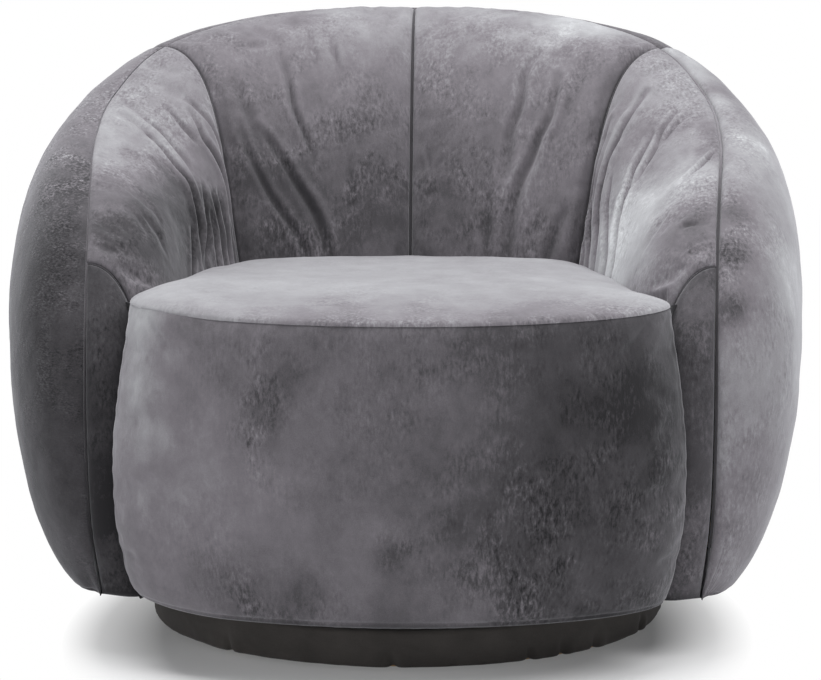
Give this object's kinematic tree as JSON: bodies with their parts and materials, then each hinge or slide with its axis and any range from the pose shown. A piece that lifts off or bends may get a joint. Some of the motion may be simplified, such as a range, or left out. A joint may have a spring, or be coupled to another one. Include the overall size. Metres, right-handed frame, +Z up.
{
  "type": "swivel cuddle chair",
  "caption": "Wide round-backed upholstered armchair in crushed velvet whose whole seat swivels on a low cloth-wrapped round plinth.",
  "frame": {"origin": "on the floor under the swivel axis, in the middle of the round plinth", "axes": "+Z up, the chair faces -Y, and +X is the right-hand side seen from the front"},
  "size_m": [1.0376, 0.9349, 0.7856],
  "materials": {
    "velvet_seat": "crushed velvet",
    "velvet_back": "crushed velvet",
    "velvet_wing": "crushed velvet",
    "velvet_arm": "crushed velvet",
    "velvet_fascia": "crushed velvet",
    "velvet_outer": "crushed velvet",
    "plinth_cloth": "stretched dark cloth",
    "black_cloth": "thin lining cloth",
    "plywood": "raw plywood",
    "steel": "bare steel",
    "zinc": "zinc plated",
    "nylon": "satin",
    "foam": "open-cell foam",
    "webbing": "woven strap"
  },
  "bodies": {
    "plinth": {"plinth_bottom_board": "plywood", "plinth_middle_board": "plywood", "plinth_top_board": "plywood", "plinth_cover": "plinth_cloth", "plinth_liner": "black_cloth", "glide_1": "nylon", "glide_2": "nylon", "glide_3": "nylon", "glide_4": "nylon", "glide_5": "nylon", "glide_6": "nylon", "swivel_lower_plate": "steel", "pivot_pin": "steel", "lower_bolt_1": "zinc", "lower_bolt_2": "zinc", "lower_bolt_3": "zinc", "lower_bolt_4": "zinc"},
    "ball_cage": {"ball_cage": "zinc"},
    "seat": {"seat_top": "velvet_seat", "back_pad_left": "velvet_back", "back_pad_right": "velvet_back", "wing_pad_left": "velvet_wing", "wing_pad_right": "velvet_wing", "arm_front_left": "velvet_arm", "arm_front_right": "velvet_arm", "front_fascia": "velvet_fascia", "outer_cover_left": "velvet_outer", "outer_cover_right": "velvet_outer", "outer_cover_back": "velvet_outer", "underside_cloth": "black_cloth", "base_board": "plywood", "front_panel": "plywood", "side_rail_left": "plywood", "side_rail_right": "plywood", "back_rail": "plywood", "pad_ledge": "plywood", "back_rib_centre": "plywood", "corner_rib_left": "plywood", "corner_rib_right": "plywood", "arm_rib_left": "plywood", "arm_rib_right": "plywood", "arm_post_left": "plywood", "arm_post_right": "plywood", "swivel_upper_plate": "steel", "top_rail": "steel", "upper_bolt_1": "zinc", "upper_bolt_2": "zinc", "upper_bolt_3": "zinc", "upper_bolt_4": "zinc", "seat_foam": "foam", "cross_web_1": "webbing", "cross_web_2": "webbing", "cross_web_3": "webbing", "cross_web_4": "webbing", "long_web_1": "webbing", "long_web_2": "webbing", "long_web_3": "webbing"}
  },
  "joints": [
    {"name": "seat_swivel", "type": "hinge", "parent": "plinth", "child": "seat", "pos_m": [0, 0, 0.072], "axis": [0, 0, 1], "continuous": true},
    {"name": "ball_cage_spin", "type": "hinge", "parent": "plinth", "child": "ball_cage", "pos_m": [0, 0, 0.064], "axis": [0, 0, 1], "continuous": true}
  ],
  "couplings": [
    {"joint": "ball_cage_spin", "follows": "seat_swivel", "ratio": 0.5}
  ]
}
